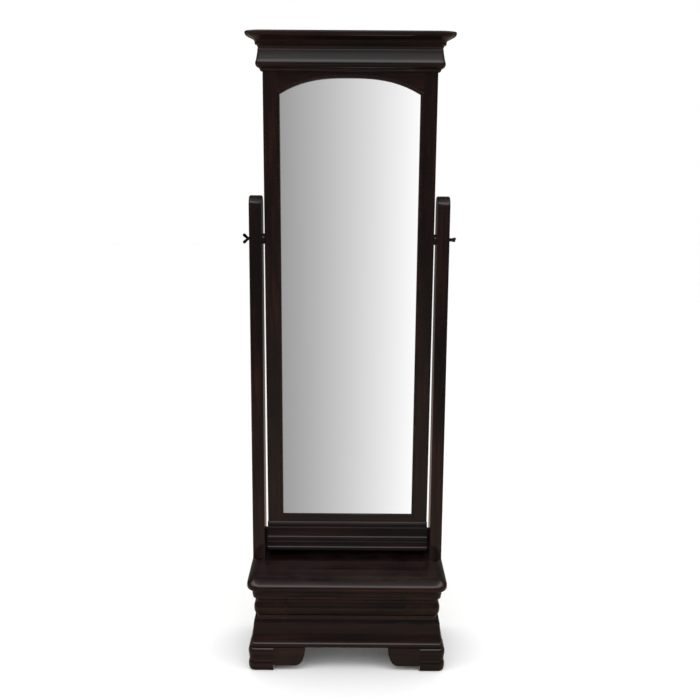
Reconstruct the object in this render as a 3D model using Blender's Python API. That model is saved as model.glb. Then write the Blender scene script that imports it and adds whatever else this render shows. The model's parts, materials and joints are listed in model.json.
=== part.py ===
"""Cheval floor mirror: an arched mirror in a mahogany frame, hung between two posts on a drawer base.

Metres, +Z up.  X runs along the width, the front faces -Y, and the origin is on the floor under the
middle of the base.  The mirror body hangs from an empty on the axis of the two wing screws.
"""
import bpy
import bmesh
from math import asin, atan2, copysign, cos, hypot, pi, radians, sin
from mathutils import Matrix, Vector

for old in list(bpy.data.objects):
    bpy.data.objects.remove(old, do_unlink=True)

# ---------------------------------------------------------------- driving sizes
GAP = 0.0003                # glue line between two pieces that touch
RUNNING = 0.0010            # play round the drawer
SHAFT_PLAY = 0.0005         # play round the wing screws, on the radius

# base, from the floor up
BASE_WIDTH = 0.577          # over the nosing of the top board
BASE_DEPTH = 0.300
BASE_CORNER = 0.040         # plan radius of the front corners at the nosing
PLINTH_CORNER = 0.024       # and of the plinth and feet, on the same line
FOOT_HEIGHT = 0.070
PLINTH_HEIGHT = 0.071
FLOOR_BOARD = 0.009         # thickness of the board under the drawer
FRIEZE_HEIGHT = 0.0745
BED_HEIGHT = 0.018
TOP_THICKNESS = 0.039
BASE_STOCK = 0.050          # from the nosing line to the inside of the base mouldings
BACK_PANEL = 0.012

# feet
PAD_LENGTH = 0.0765         # proud corner block of a foot, along the front and along the side
WING_REACH = 0.1690         # from the nosing line to the end of a foot's bracket
WING_END = 0.029            # length of the rounded end of a bracket
WING_LIFT = 0.0147          # the bracket stands this far above the floor
WING_SET_BACK = 0.0090      # its face, behind the nosing line
WING_THICK = 0.018
REAR_FOOT_LENGTH = 0.095

# drawer
DRAWER_WIDTH = 0.338
DRAWER_BOX_INSET = 0.009    # side of the box, in from the end of the front
DRAWER_BOX_DEPTH = 0.205
DRAWER_SIDE = 0.010
DRAWER_BOX_BOTTOM = 0.008   # box above the board it runs over
DRAWER_BOX_HEIGHT = 0.056
DRAWER_BOTTOM = 0.004
GUIDE_WIDTH = 0.016
RUNNER_WIDTH = 0.014

# posts
POST_INSET = 0.0067         # outer face of a post, in from the nosing line
POST_WIDTH = 0.0358
POST_DEPTH = 0.070
POST_SET_BACK = 0.158       # front of the posts, behind the front of the nosing
POST_HEIGHT = 1.073         # above the top board
POST_ROUND = 0.026          # round of the post tops, front and back
POST_EASE = 0.0025          # eased long edges
TENON_WIDTH = 0.020
TENON_DEPTH = 0.045
PIVOT_DROP = 0.1205         # wing screws below the top of the posts
PIVOT_FROM_FRONT = 0.025    # and behind the front of the posts

# stretcher and its bumpers
STRETCHER_HEIGHT = 0.0705
STRETCHER_THICK = 0.018
BUMPER_RADIUS = 0.008
BUMPER_THICK = 0.0025
BUMPER_IN = 0.060           # bumper, in from the post
BUMPER_BELOW_TOP = 0.020

# pivot hardware
SPACER_THICK = 0.0070
SPACER_RADIUS = 0.015
SCREW_RADIUS = 0.0030
SCREW_REACH = 0.016         # shaft inside the mirror's stile
HUB_RADIUS = 0.0050
HUB_LENGTH = 0.0060
WING_SCREW_SPAN = 0.0285
WING_SCREW_REACH = 0.0195   # tips of the wings, out from the post
WING_TIP_RADIUS = 0.0046
WING_PLATE = 0.0042
INSERT_WALL = 0.0022
INSERT_LENGTH = 0.020

# mirror body; heights count from the wing screws
FRAME_THICK = 0.022
STILE_WIDTH = 0.0385
SLIP_WIDTH = 0.0080         # slim bead round the glass
SWEEP_CLEARANCE = 0.0115    # bottom of the mirror above the top board
GLASS_BOTTOM_UP = 0.1145     # bottom of the visible glass above the bottom of the frame
SPRING_HEIGHT = 0.395       # where the arch starts
ARCH_RISE = 0.0425
ARCH_FULLNESS = 2.7        # 2 would be a plain arc; more lifts the shoulders
CROWN_TOP = 0.5590
BEAD_HEIGHT = 0.0095
OGEE_HEIGHT = 0.0505
CORNICE_HEIGHT = 0.0449
CORNICE_REACH = 0.0475
CROWN_CORNER = -GAP         # crown mouldings turn round the frame's square corner
GLASS_THICK = 0.004
BACKING_THICK = 0.005
SLIP_DEPTH = 0.006
STRIP_WIDTH = 0.010
FOOT_MOULDING_HEIGHT = 0.0923
FOOT_MOULDING_OVERHANG = 0.0012

# ---------------------------------------------------------------- worked out from them
HALF_BASE = BASE_WIDTH / 2
FRONT = -BASE_DEPTH / 2
BACK = BASE_DEPTH / 2
PLINTH_Z = FOOT_HEIGHT
BOARD_Z = PLINTH_Z + PLINTH_HEIGHT
FRIEZE_Z = BOARD_Z + FLOOR_BOARD
BED_Z = FRIEZE_Z + FRIEZE_HEIGHT
TOP_Z = BED_Z + BED_HEIGHT
BASE_TOP_Z = TOP_Z + TOP_THICKNESS
INNER_HALF = HALF_BASE - BASE_STOCK
INNER_FRONT = FRONT + BASE_STOCK

POST_OUTER = HALF_BASE - POST_INSET
POST_INNER = POST_OUTER - POST_WIDTH
POST_FRONT = FRONT + POST_SET_BACK
POST_BACK = POST_FRONT + POST_DEPTH
POST_TOP_Z = BASE_TOP_Z + POST_HEIGHT
PIVOT = Vector((0, POST_FRONT + PIVOT_FROM_FRONT, POST_TOP_Z - PIVOT_DROP))

FRAME_HALF = POST_INNER - SPACER_THICK
OPENING_HALF = FRAME_HALF - STILE_WIDTH
GLASS_HALF = OPENING_HALF - SLIP_WIDTH
FACE = -FRAME_THICK / 2
REAR = FRAME_THICK / 2
FRAME_BOTTOM = -(PIVOT.z - BASE_TOP_Z - SWEEP_CLEARANCE)
GLASS_BOTTOM = FRAME_BOTTOM + GLASS_BOTTOM_UP
CORNICE_Z = CROWN_TOP - CORNICE_HEIGHT
OGEE_Z = CORNICE_Z - OGEE_HEIGHT
BEAD_Z = OGEE_Z - BEAD_HEIGHT
STILE_TOP = CORNICE_Z + 0.022

STRETCHER_TOP_Z = BASE_TOP_Z + STRETCHER_HEIGHT
BUMPER_Z = STRETCHER_TOP_Z - BUMPER_BELOW_TOP
# the mirror leans until the back of its frame lies on the bumpers
LEAN_ROOM = POST_BACK - PIVOT.y - BUMPER_THICK - 2 * GAP
LEAN_ARM = PIVOT.z - BUMPER_Z
LEAN = asin(LEAN_ROOM / hypot(LEAN_ARM, REAR)) - atan2(REAR, LEAN_ARM)

CORNER_STEPS = 6
ARCH_STEPS = 20
ROUND_STEPS = 16

# ---------------------------------------------------------------- materials and helpers


def material(name, colour, roughness, metallic=0.0):
    made = bpy.data.materials.new(name)
    made.use_nodes = True
    shader = made.node_tree.nodes["Principled BSDF"]
    shader.inputs["Base Color"].default_value = (*colour, 1)
    shader.inputs["Roughness"].default_value = roughness
    shader.inputs["Metallic"].default_value = metallic
    made.diffuse_color = (*colour, 1)
    return made


MAHOGANY = ((0.050, 0.014, 0.012), 0.25, 0.0)
PLAIN_WOOD = ((0.34, 0.22, 0.12), 0.6, 0.0)
BRONZE = ((0.035, 0.028, 0.024), 0.38, 0.9)
BRASS = ((0.62, 0.45, 0.20), 0.35, 1.0)
SILVERING = ((0.86, 0.87, 0.88), 0.02, 1.0)
HARDBOARD = ((0.20, 0.13, 0.08), 0.75, 0.0)
FELT = ((0.05, 0.05, 0.05), 0.95, 0.0)
IRON = ((0.30, 0.30, 0.31), 0.4, 1.0)


def finish_mesh(name, bm, look, parent=None, smooth_angle=28):
    """Weld, point the faces outwards and hang the piece in the scene with its own material."""
    bmesh.ops.remove_doubles(bm, verts=bm.verts, dist=0.00002)
    bmesh.ops.dissolve_degenerate(bm, edges=bm.edges, dist=0.00001)
    bmesh.ops.recalc_face_normals(bm, faces=bm.faces)
    mesh = bpy.data.meshes.new(name)
    bm.to_mesh(mesh)
    bm.free()
    mesh.shade_smooth()
    mesh.set_sharp_from_angle(angle=radians(smooth_angle))
    piece = bpy.data.objects.new(name, mesh)
    bpy.context.scene.collection.objects.link(piece)
    mesh.materials.append(material(name, *look))
    piece.parent = parent
    return piece


def loft(bm, rings, closed=False):
    """Skin a row of equal rings of points; open rows get an end face at each end."""
    rows = [[bm.verts.new(point) for point in ring] for ring in rings]
    pairs = list(zip(rows, rows[1:]))
    if closed:
        pairs.append((rows[-1], rows[0]))
    for low, high in pairs:
        count = len(low)
        for i in range(count):
            j = (i + 1) % count
            bm.faces.new((low[i], low[j], high[j], high[i]))
    if not closed:
        bm.faces.new(rows[0])
        bm.faces.new(rows[-1])


def arc(centre, radii, start, end, steps):
    """Points on an ellipse, degrees from the first axis."""
    turns = [radians(start + (end - start) * i / steps) for i in range(steps + 1)]
    return [(centre[0] + radii[0] * cos(t), centre[1] + radii[1] * sin(t)) for t in turns]


def ogee(start, end, steps):
    """An S curve that leaves and arrives upright."""
    points = []
    for i in range(steps + 1):
        share = i / steps
        ease = (1 - cos(pi * share)) / 2
        points.append((start[0] + (end[0] - start[0]) * ease, start[1] + (end[1] - start[1]) * share))
    return points


def box(name, low, high, look, parent=None, ease=0.0):
    bm = bmesh.new()
    bmesh.ops.create_cube(bm, size=1)
    size = [b - a for a, b in zip(low, high)]
    middle = [(a + b) / 2 for a, b in zip(low, high)]
    bmesh.ops.scale(bm, vec=size, verts=bm.verts)
    if ease:
        bmesh.ops.bevel(bm, geom=bm.edges, offset=ease, segments=1, affect='EDGES')
    bmesh.ops.translate(bm, vec=middle, verts=bm.verts)
    return finish_mesh(name, bm, look, parent)


def extrude_outline(name, outline, axis, start, end, look, parent=None):
    """A flat outline carried along one axis; the outline's two numbers are the other two, in order."""
    bm = bmesh.new()
    rings = []
    for place in (start, end):
        ring = []
        for a, b in outline:
            point = [a, b]
            point.insert(axis, place)
            ring.append(point)
        rings.append(ring)
    loft(bm, rings)
    return finish_mesh(name, bm, look, parent)


def turned(bm, stations, axis_y=0.0, axis_z=0.0, steps=ROUND_STEPS, bore=0.0):
    """A round piece along X, from (x, radius) stations, solid or with a bore."""
    def ring(x, radius):
        angles = [2 * pi * (i + 0.5) / steps for i in range(steps)]
        return [(x, axis_y + radius * cos(a), axis_z + radius * sin(a)) for a in angles]
    rings = [ring(x, radius) for x, radius in stations]
    if bore:
        rings += [ring(stations[-1][0], bore), ring(stations[0][0], bore)]
    loft(bm, rings, closed=bool(bore))


def as_tool(piece):
    piece.hide_render = True
    piece.display_type = 'WIRE'
    return piece


def combine(piece, tool, operation):
    modifier = piece.modifiers.new(operation.lower() + "_" + tool.name, 'BOOLEAN')
    modifier.operation = operation
    modifier.solver = 'EXACT'
    modifier.object = as_tool(tool)


def cut_away(bm, point, away):
    """Remove all that lies beyond a plane and close the cut."""
    geometry = bm.verts[:] + bm.edges[:] + bm.faces[:]
    result = bmesh.ops.bisect_plane(bm, geom=geometry, plane_co=point, plane_no=away, clear_outer=True)
    rim = [item for item in result["geom_cut"] if isinstance(item, bmesh.types.BMEdge)]
    bmesh.ops.edgeloop_fill(bm, edges=rim)


def u_path(half, front, back, radius, offset):
    """Plan points of a U round the front of a rectangle, from the left end round to the right end."""
    reach = radius + offset
    points = [(-half - offset, back)]
    if reach > 0:
        centre = (half - radius, front + radius)
        turn = [pi / 2 * i / CORNER_STEPS for i in range(CORNER_STEPS + 1)]
        points += [(-centre[0] - reach * cos(a), centre[1] - reach * sin(a)) for a in turn]
        points += [(centre[0] + reach * sin(a), centre[1] - reach * cos(a)) for a in turn]
    else:
        points += [(-half - offset, front - offset)] * (CORNER_STEPS + 1)
        points += [(half + offset, front - offset)] * (CORNER_STEPS + 1)
    return points + [(half + offset, back)]


def u_moulding(profile, half, front, back, radius):
    """Carry a closed profile of (outward, height) points round the U."""
    bm = bmesh.new()
    paths = [u_path(half, front, back, radius, offset) for offset, _ in profile]
    stations = len(paths[0])
    rings = []
    for s in range(stations):
        rings.append([(path[s][0], path[s][1], point[1]) for path, point in zip(paths, profile)])
    loft(bm, rings)
    return bm


def mitred(name, profile, plan, look, parent=None):
    """Three lengths of one moulding, mitred at the front corners: front, left and right."""
    half, front, back, radius = plan
    corner = half, front
    for side, part in ((0, "front"), (-1, "left"), (1, "right")):
        bm = u_moulding(profile, half, front, back, radius)
        bmesh.ops.remove_doubles(bm, verts=bm.verts, dist=0.00002)
        bmesh.ops.dissolve_degenerate(bm, edges=bm.edges, dist=0.00001)
        if side == 0:
            for sign in (-1, 1):
                away = Vector((sign, 1, 0)).normalized()
                point = Vector((sign * corner[0], corner[1], 0)) - away * GAP / 2
                cut_away(bm, point, away)
        else:
            away = Vector((-side, -1, 0)).normalized()
            point = Vector((side * corner[0], corner[1], 0)) - away * GAP / 2
            cut_away(bm, point, away)
        finish_mesh(name + "_" + part, bm, look, parent)


# ---------------------------------------------------------------- base
# Base profiles count outwards from the nosing line, so most of their numbers are negative.
BASE_PLAN = (HALF_BASE, FRONT, BACK, BASE_CORNER)
PLINTH_PLAN = (HALF_BASE, FRONT, BACK, PLINTH_CORNER)


def closed_profile(outer, inner):
    """Outer face, bottom to top, closed by a straight inner face."""
    return outer + [(inner, outer[-1][1]), (inner, outer[0][1])]


def rise(points, base):
    return [(offset, base + height) for offset, height in points]


def frieze_profile(base, height):
    """The swelling drawer frieze: tucked in below, belly, hollow neck, then out to the bed moulding."""
    neck = 0.775 * height
    points = [(-0.0300, 0), (-0.0302, 0.15 * height)]
    points += arc((-0.0302, 0.47 * height), (0.0102, 0.30 * height), -78, 0, 6)
    points += ogee((-0.0201, 0.50 * height), (-0.0245, neck), 6)
    points += arc((-0.0172, neck), (0.0072, 0.90 * height - neck), 172, 96, 4)
    points += [(-0.0168, 0.92 * height), (-0.0168, height)]
    return rise(points, base)


def build_base_top():
    bottom, top = TOP_Z + GAP, BASE_TOP_Z
    outline = [(-0.0115, bottom), (-0.0058, bottom + 0.0002)]
    outline += arc((-0.0080, bottom + 0.0090), (0.0080, 0.0088), -72, 8, 6)
    outline += arc((-0.0360, top - 0.0400), (0.0400, 0.0396), 27, 83, 9)
    outline += [(-0.0400, top)]
    bm = bmesh.new()
    rings = [[(x, y, height) for x, y in u_path(*BASE_PLAN, offset)] for offset, height in outline]
    loft(bm, rings)
    board = finish_mesh("base_top", bm, MAHOGANY)
    for side, label in ((-1, "left"), (1, "right")):
        low, high = post_tenon(side, SHAFT_PLAY)
        low[2] -= 0.01
        high[2] += 0.01
        combine(board, box("cutter_mortise_" + label, low, high, PLAIN_WOOD), 'DIFFERENCE')


def post_tenon(side, play):
    """Low and high corners of a post's tenon, or of its mortise with some play."""
    middle = side * (POST_OUTER - POST_WIDTH / 2)
    centre = (POST_FRONT + POST_BACK) / 2
    low = [middle - TENON_WIDTH / 2 - play, centre - TENON_DEPTH / 2 - play, TOP_Z + 0.001]
    high = [middle + TENON_WIDTH / 2 + play, centre + TENON_DEPTH / 2 + play, BASE_TOP_Z]
    return low, high


def build_bed_moulding():
    outer = [(-0.0166, BED_Z + GAP), (-0.0156, BED_Z + 0.0015), (-0.0152, BED_Z + 0.0045)]
    outer += [(-0.0150, BED_Z + 0.0140)]
    outer += arc((-0.0085, BED_Z + 0.0142), (0.0064, BED_HEIGHT - 0.0145), 172, 95, 4)
    outer += [(-0.0080, BED_Z + BED_HEIGHT)]
    mitred("bed_moulding", closed_profile(outer, -BASE_STOCK), BASE_PLAN, MAHOGANY)


def build_frieze():
    """The frieze keeps the middle free for the drawer, so each half turns one corner."""
    outer = frieze_profile(FRIEZE_Z + GAP, FRIEZE_HEIGHT - GAP)
    profile = closed_profile(outer, -BASE_STOCK)
    for side, label in ((-1, "left"), (1, "right")):
        bm = u_moulding(profile, *BASE_PLAN)
        bmesh.ops.remove_doubles(bm, verts=bm.verts, dist=0.00002)
        edge = Vector((side * (DRAWER_WIDTH / 2 + RUNNING), 0, 0))
        cut_away(bm, edge, Vector((-side, 0, 0)))
        finish_mesh("frieze_" + label, bm, MAHOGANY)


def build_plinth():
    bead = 0.0150
    outer = [(-0.0125, PLINTH_Z + GAP)]
    outer += arc((-0.0125, PLINTH_Z + bead / 2), (0.0040, bead / 2 - GAP), -75, 65, 6)
    outer += [(-0.0114, PLINTH_Z + bead)]
    outer += ogee((-0.0113, PLINTH_Z + bead + 0.001), (-0.0172, PLINTH_Z + 0.62 * PLINTH_HEIGHT), 4)
    outer += [(-0.0186, PLINTH_Z + 0.85 * PLINTH_HEIGHT), (-0.0196, PLINTH_Z + PLINTH_HEIGHT)]
    mitred("plinth", closed_profile(outer, -BASE_STOCK), PLINTH_PLAN, MAHOGANY)
    low = (-INNER_HALF + GAP, BACK - BACK_PANEL, PLINTH_Z + GAP)
    high = (INNER_HALF - GAP, BACK, PLINTH_Z + PLINTH_HEIGHT)
    box("plinth_back", low, high, PLAIN_WOOD)


def build_floor_board():
    """The board under the drawer stands back behind the front mouldings and makes a dark line there."""
    side = 0.0245
    low = (-HALF_BASE + side, FRONT + 0.036, BOARD_Z + GAP)
    high = (HALF_BASE - side, BACK, BOARD_Z + FLOOR_BOARD)
    box("floor_board", low, high, MAHOGANY)


def build_back_panel():
    low = (-INNER_HALF + GAP, BACK - BACK_PANEL, FRIEZE_Z + GAP)
    high = (INNER_HALF - GAP, BACK, TOP_Z)
    box("back_panel", low, high, PLAIN_WOOD)


def bracket_outline(outer, reach):
    """Front view of a foot's bracket, from the outer end (height zero at the floor)."""
    top = FOOT_HEIGHT
    tip = outer - reach + WING_END
    curve = arc((tip, top), (WING_END, top - WING_LIFT), 270, 180, 6)
    return [(outer, WING_LIFT), (tip + 0.0001, WING_LIFT)] + curve + [(outer, top)]


def foot_pad_profile():
    top = FOOT_HEIGHT
    points = [(-0.0110, 0)]
    points += arc((-0.0100, 0.0175), (0.0062, 0.0172), -68, 60, 6)
    points += [(-0.0058, top * 0.55)]
    points += arc((-0.0085, top * 0.81), (0.0048, top * 0.19 - GAP), -45, 75, 5)
    points += [(-0.0095, top)]
    return points


def build_front_feet():
    """Each front foot is a bulged corner block with a bracket along the front and one along the side."""
    for side, label in ((-1, "left"), (1, "right")):
        profile = closed_profile(foot_pad_profile(), -BASE_STOCK)
        bm = u_moulding(profile, *PLINTH_PLAN)
        bmesh.ops.remove_doubles(bm, verts=bm.verts, dist=0.00002)
        cut_away(bm, Vector((side * (HALF_BASE - PAD_LENGTH), 0, 0)), Vector((-side, 0, 0)))
        cut_away(bm, Vector((0, FRONT + PAD_LENGTH, 0)), Vector((0, 1, 0)))
        foot = finish_mesh("front_foot_" + label, bm, MAHOGANY)
        outer = HALF_BASE - BASE_CORNER
        outline = bracket_outline(outer, WING_REACH - BASE_CORNER)
        outline = [(side * x, z) for x, z in outline]
        face = FRONT + WING_SET_BACK
        wing = extrude_outline("tool_wing_front_" + label, outline, 1, face, face + WING_THICK, MAHOGANY)
        combine(foot, wing, 'UNION')
        outline = bracket_outline(-FRONT - BASE_CORNER, WING_REACH - BASE_CORNER)
        outline = [(-y, z) for y, z in outline]
        face = side * (HALF_BASE - WING_SET_BACK)
        wing = extrude_outline("tool_wing_side_" + label, outline, 0, face - side * WING_THICK, face, MAHOGANY)
        combine(foot, wing, 'UNION')


def build_rear_feet():
    for side, label in ((-1, "left"), (1, "right")):
        tip = BACK - REAR_FOOT_LENGTH + WING_END
        top = FOOT_HEIGHT
        outline = [(BACK, 0), (tip, 0)] + arc((tip, top), (WING_END, top), 260, 180, 6) + [(BACK, top)]
        outer = side * (HALF_BASE - WING_SET_BACK)
        inner = side * (HALF_BASE - BASE_STOCK)
        extrude_outline("rear_foot_" + label, outline, 0, inner, outer, MAHOGANY)


# ---------------------------------------------------------------- drawer
BOX_HALF = DRAWER_WIDTH / 2 - DRAWER_BOX_INSET
BOX_Z = FRIEZE_Z + DRAWER_BOX_BOTTOM
BOX_BACK = INNER_FRONT + DRAWER_BOX_DEPTH


def build_drawer():
    drawer = bpy.data.objects.new("drawer_slide_origin", None)
    bpy.context.scene.collection.objects.link(drawer)
    outer = frieze_profile(FRIEZE_Z + GAP, FRIEZE_HEIGHT - GAP)
    bm = u_moulding(closed_profile(outer, -BASE_STOCK), *BASE_PLAN)
    bmesh.ops.remove_doubles(bm, verts=bm.verts, dist=0.00002)
    for sign in (-1, 1):
        cut_away(bm, Vector((sign * DRAWER_WIDTH / 2, 0, 0)), Vector((sign, 0, 0)))
    cut_away(bm, Vector((0, 0, BED_Z - RUNNING)), Vector((0, 0, 1)))
    cut_away(bm, Vector((0, 0, FRIEZE_Z + RUNNING)), Vector((0, 0, -1)))
    finish_mesh("drawer_front", bm, MAHOGANY, drawer)
    top = BOX_Z + DRAWER_BOX_HEIGHT
    for side, label in ((-1, "left"), (1, "right")):
        edges = sorted((side * BOX_HALF, side * (BOX_HALF - DRAWER_SIDE)))
        low = (edges[0], INNER_FRONT + GAP, BOX_Z)
        high = (edges[1], BOX_BACK, top)
        box("drawer_side_" + label, low, high, PLAIN_WOOD, drawer)
    inside = BOX_HALF - DRAWER_SIDE - GAP
    low = (-inside, BOX_BACK - DRAWER_SIDE, BOX_Z)
    box("drawer_back", low, (inside, BOX_BACK, top), PLAIN_WOOD, drawer)
    low = (-inside, INNER_FRONT + GAP, BOX_Z + DRAWER_BOTTOM)
    high = (inside, BOX_BACK - DRAWER_SIDE - GAP, BOX_Z + 2 * DRAWER_BOTTOM)
    box("drawer_bottom", low, high, PLAIN_WOOD, drawer)


def build_drawer_guides():
    """A runner under each side of the drawer box and a guide beside it, fixed to the floor board."""
    for side, label in ((-1, "left"), (1, "right")):
        edges = sorted((side * (BOX_HALF - RUNNER_WIDTH), side * BOX_HALF))
        low = (edges[0], INNER_FRONT + 0.002, FRIEZE_Z + GAP)
        high = (edges[1], BACK - BACK_PANEL - GAP, BOX_Z - GAP)
        box("drawer_runner_" + label, low, high, PLAIN_WOOD)
        start = BOX_HALF + RUNNING
        edges = sorted((side * start, side * (start + GUIDE_WIDTH)))
        low = (edges[0], INNER_FRONT + 0.002, FRIEZE_Z + GAP)
        high = (edges[1], BACK - BACK_PANEL - GAP, TOP_Z)
        box("drawer_guide_" + label, low, high, PLAIN_WOOD)


# ---------------------------------------------------------------- posts, stretcher and pivots
def build_posts():
    bottom = BASE_TOP_Z + GAP
    outline = [(POST_FRONT, bottom)]
    outline += arc((POST_FRONT + POST_ROUND, POST_TOP_Z - POST_ROUND), (POST_ROUND, POST_ROUND), 180, 90, 6)
    outline += arc((POST_BACK - POST_ROUND, POST_TOP_Z - POST_ROUND), (POST_ROUND, POST_ROUND), 90, 0, 6)
    outline += [(POST_BACK, bottom)]
    middle = (POST_FRONT + POST_BACK) / 2
    for side, label in ((-1, "left"), (1, "right")):
        bm = bmesh.new()
        rings = []
        for x, ease in ((POST_INNER, POST_EASE), (POST_INNER + POST_EASE, 0),
                        (POST_OUTER - POST_EASE, 0), (POST_OUTER, POST_EASE)):
            ring = []
            for y, z in outline:
                across = 1 - ease / (POST_DEPTH / 2)
                ring.append((side * x, middle + (y - middle) * across, z - (ease if z > bottom else 0)))
            rings.append(ring)
        loft(bm, rings)
        post = finish_mesh("post_" + label, bm, MAHOGANY)
        low, high = post_tenon(side, 0)
        high[2] += 0.01
        combine(post, box("tool_tenon_" + label, low, high, MAHOGANY), 'UNION')
        bm = bmesh.new()
        stations = [(side * (POST_INNER - 0.01), SCREW_RADIUS + SHAFT_PLAY),
                    (side * (POST_OUTER + 0.01), SCREW_RADIUS + SHAFT_PLAY)]
        turned(bm, stations, PIVOT.y, PIVOT.z)
        combine(post, finish_mesh("cutter_pivot_" + label, bm, IRON), 'DIFFERENCE')


def build_stretcher():
    low = (-POST_OUTER + 0.006, POST_BACK + GAP, BASE_TOP_Z + GAP)
    high = (POST_OUTER - 0.006, POST_BACK + STRETCHER_THICK, STRETCHER_TOP_Z)
    box("stretcher", low, high, MAHOGANY, ease=0.0012)
    for side, label in ((-1, "left"), (1, "right")):
        bm = bmesh.new()
        profile = [(0, BUMPER_RADIUS), (BUMPER_THICK * 0.7, BUMPER_RADIUS)]
        turned(bm, profile + [(BUMPER_THICK, BUMPER_RADIUS * 0.8)])
        turn = Matrix.Rotation(radians(-90), 4, 'Z')
        place = Matrix.Translation((side * (POST_INNER - BUMPER_IN), POST_BACK, BUMPER_Z))
        bmesh.ops.transform(bm, matrix=place @ turn, verts=bm.verts)
        finish_mesh("bumper_" + label, bm, FELT)


def build_spacers():
    for side, label in ((-1, "left"), (1, "right")):
        bm = bmesh.new()
        inner, outer = FRAME_HALF + GAP, POST_INNER - GAP
        stations = [(side * inner, SPACER_RADIUS - 0.0008), (side * (inner + 0.0008), SPACER_RADIUS),
                    (side * (outer - 0.0008), SPACER_RADIUS), (side * outer, SPACER_RADIUS - 0.0008)]
        turned(bm, stations, PIVOT.y, PIVOT.z, 24, SCREW_RADIUS + SHAFT_PLAY)
        finish_mesh("spacer_" + label, bm, MAHOGANY)


def build_wing_screws():
    """A shaft through post and spacer into the mirror, with a hub and two flared wings outside."""
    for side, label in ((-1, "left"), (1, "right")):
        origin = bpy.data.objects.new("wing_screw_axis_" + label, None)
        origin.location = (side * POST_OUTER, PIVOT.y, PIVOT.z)
        bpy.context.scene.collection.objects.link(origin)
        bm = bmesh.new()
        start = -(POST_WIDTH + SPACER_THICK + SCREW_REACH)
        stations = [(start, SCREW_RADIUS * 0.7), (start + 0.001, SCREW_RADIUS), (GAP, SCREW_RADIUS)]
        stations += [(GAP, HUB_RADIUS), (HUB_LENGTH - 0.001, HUB_RADIUS), (HUB_LENGTH, HUB_RADIUS - 0.001)]
        turned(bm, [(side * x, radius) for x, radius in stations])
        screw = finish_mesh("wing_screw_" + label, bm, BRONZE, origin)
        for way in (-1, 1):
            near = (0.0062, way * 0.0016)
            far = (WING_SCREW_REACH - WING_TIP_RADIUS, way * (WING_SCREW_SPAN / 2 - WING_TIP_RADIUS))
            lean = atan2(far[1] - near[1], far[0] - near[0]) * 180 / pi
            small = WING_TIP_RADIUS * 0.72
            outline = arc(near, (small, small), lean + 90, lean + 270, 6)
            outline += arc(far, (WING_TIP_RADIUS, WING_TIP_RADIUS), lean - 90, lean + 90, 8)
            outline = [(side * x, z) for x, z in outline]
            tool = extrude_outline("tool_wing_%s_%s" % (label, "up" if way > 0 else "down"), outline, 1,
                                   -WING_PLATE / 2, WING_PLATE / 2, BRONZE, origin)
            combine(screw, tool, 'UNION')
        origin.rotation_euler.x = 0 if side < 0 else radians(68)


# ---------------------------------------------------------------- mirror body
def arch_point(across, offset):
    """A point of the arch grown by an offset; across runs from -1 at the left spring to 1 at the right."""
    share = abs(across)
    x = GLASS_HALF * across
    z = SPRING_HEIGHT + ARCH_RISE * (1 - share ** ARCH_FULLNESS)
    slope = ARCH_RISE / GLASS_HALF * ARCH_FULLNESS * share ** (ARCH_FULLNESS - 1)
    length = hypot(slope, 1)
    return x + offset * copysign(slope, across) / length, z + offset / length


def arch_spring(offset, half):
    """Height at which the grown arch, carried on straight, meets an upright at the given half width."""
    slope = ARCH_RISE / GLASS_HALF * ARCH_FULLNESS
    x, z = arch_point(1, offset)
    return z - slope * (half - x)


def opening_outline(offset):
    """Outline of the arched opening, grown outwards by an offset: bottom, right side, arch, left side."""
    half = GLASS_HALF + offset
    bottom = GLASS_BOTTOM - offset
    spring = arch_spring(offset, half)
    points = [(-half, bottom), (half, bottom), (half, spring)]
    points += [arch_point(1 - 2 * i / ARCH_STEPS, offset) for i in range(1, ARCH_STEPS)]
    return points + [(-half, spring)]


def build_frame(mirror):
    for side, label in ((-1, "left"), (1, "right")):
        edges = sorted((side * (OPENING_HALF + GAP), side * FRAME_HALF))
        stile = box("stile_" + label, (edges[0], FACE, FRAME_BOTTOM + 0.004), (edges[1], REAR, STILE_TOP),
                    MAHOGANY, mirror, ease=0.0008)
        bm = bmesh.new()
        hole = SCREW_RADIUS + SHAFT_PLAY + INSERT_WALL + GAP
        depth = FRAME_HALF - INSERT_LENGTH - GAP
        turned(bm, [(side * depth, hole), (side * (FRAME_HALF + 0.01), hole)])
        combine(stile, finish_mesh("cutter_insert_" + label, bm, IRON, mirror), 'DIFFERENCE')
        bm = bmesh.new()
        stations = [(side * (depth + GAP), hole - GAP), (side * FRAME_HALF, hole - GAP)]
        turned(bm, stations, bore=SCREW_RADIUS + SHAFT_PLAY)
        finish_mesh("threaded_insert_" + label, bm, BRASS, mirror)
    low = (-OPENING_HALF, FACE, FRAME_BOTTOM + 0.004)
    high = (OPENING_HALF, REAR, GLASS_BOTTOM - SLIP_WIDTH - GAP)
    box("bottom_rail", low, high, MAHOGANY, mirror)
    arch = opening_outline(SLIP_WIDTH + GAP)[2:]
    ends = OPENING_HALF
    arch = [point for point in arch if abs(point[0]) < ends]
    edge = arch_spring(SLIP_WIDTH + GAP, ends)
    outline = [(ends, edge)] + arch + [(-ends, edge), (-ends, STILE_TOP), (ends, STILE_TOP)]
    extrude_outline("top_rail", outline, 1, FACE, REAR, MAHOGANY, mirror)


def flat_sheet(name, offset, front, back, look, mirror):
    extrude_outline(name, opening_outline(offset), 1, front, back, look, mirror)


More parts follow.
